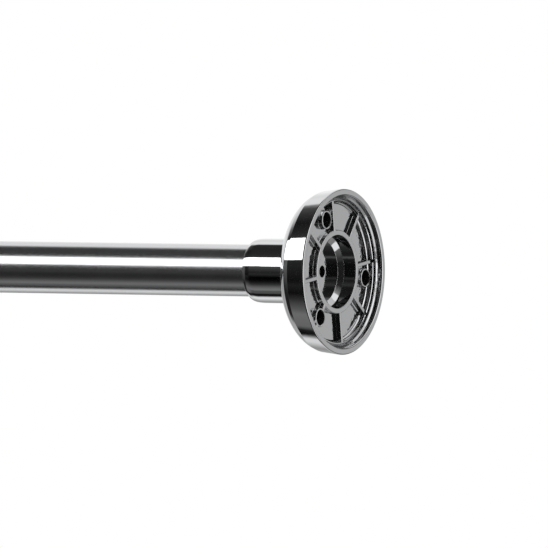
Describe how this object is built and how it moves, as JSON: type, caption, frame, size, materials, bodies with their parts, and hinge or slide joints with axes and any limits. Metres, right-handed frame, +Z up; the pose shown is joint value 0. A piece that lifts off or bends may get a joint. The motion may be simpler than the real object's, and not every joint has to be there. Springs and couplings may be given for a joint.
{
  "type": "pull up bar",
  "caption": "Telescopic chrome doorway pull up bar: an outer tube turned by hand drives a screw that extends an inner tube between two round wall flanges with collars.",
  "frame": {"origin": "centre of the right flange's wall face, on the bar's axis", "axes": "+X out of the right wall face, away from the bar, which runs along -X; +Z up; +Y away from the viewer"},
  "size_m": [0.76, 0.0894, 0.0894],
  "materials": {
    "cast_chrome": "polished chrome on a casting",
    "tube_chrome": "polished chrome on drawn tube",
    "zinc_steel": "zinc plated",
    "brass": "machined",
    "black_nylon": "moulded",
    "white_nylon": "moulded"
  },
  "bodies": {
    "right_end": {"right_flange": "cast_chrome", "right_thrust_washer": "white_nylon"},
    "outer_assembly": {"outer_tube": "tube_chrome", "mouth_ring": "black_nylon", "spindle": "zinc_steel", "spindle_anchor": "zinc_steel", "anchor_pin": "zinc_steel", "spindle_jam_nut": "zinc_steel", "stop_washer": "white_nylon", "stop_nut": "zinc_steel", "stop_pin": "zinc_steel"},
    "inner_assembly": {"inner_tube": "tube_chrome", "nut_carrier": "zinc_steel", "spindle_nut": "brass", "carrier_rivet_upper": "zinc_steel", "carrier_rivet_lower": "zinc_steel", "left_end_plug": "black_nylon", "end_plug_pin": "zinc_steel", "left_adapter_sleeve": "black_nylon"},
    "left_end": {"left_flange": "cast_chrome", "left_thrust_washer": "white_nylon"}
  },
  "joints": [
    {"name": "outer_tube_turn", "type": "hinge", "parent": "right_end", "child": "outer_assembly", "pos_m": [0, 0, 0], "axis": [1, 0, 0], "range_deg": [-12600, 21600]},
    {"name": "inner_tube_extension", "type": "slide", "parent": "right_end", "child": "inner_assembly", "axis": [-1, 0, 0], "range_m": [-0.14, 0.24]},
    {"name": "left_flange_swivel", "type": "hinge", "parent": "inner_assembly", "child": "left_end", "pos_m": [-0.76, 0, 0], "axis": [1, 0, 0], "continuous": true}
  ],
  "couplings": [
    {"joint": "inner_tube_extension", "follows": "outer_tube_turn", "m_per_rad": 0.00063661}
  ]
}
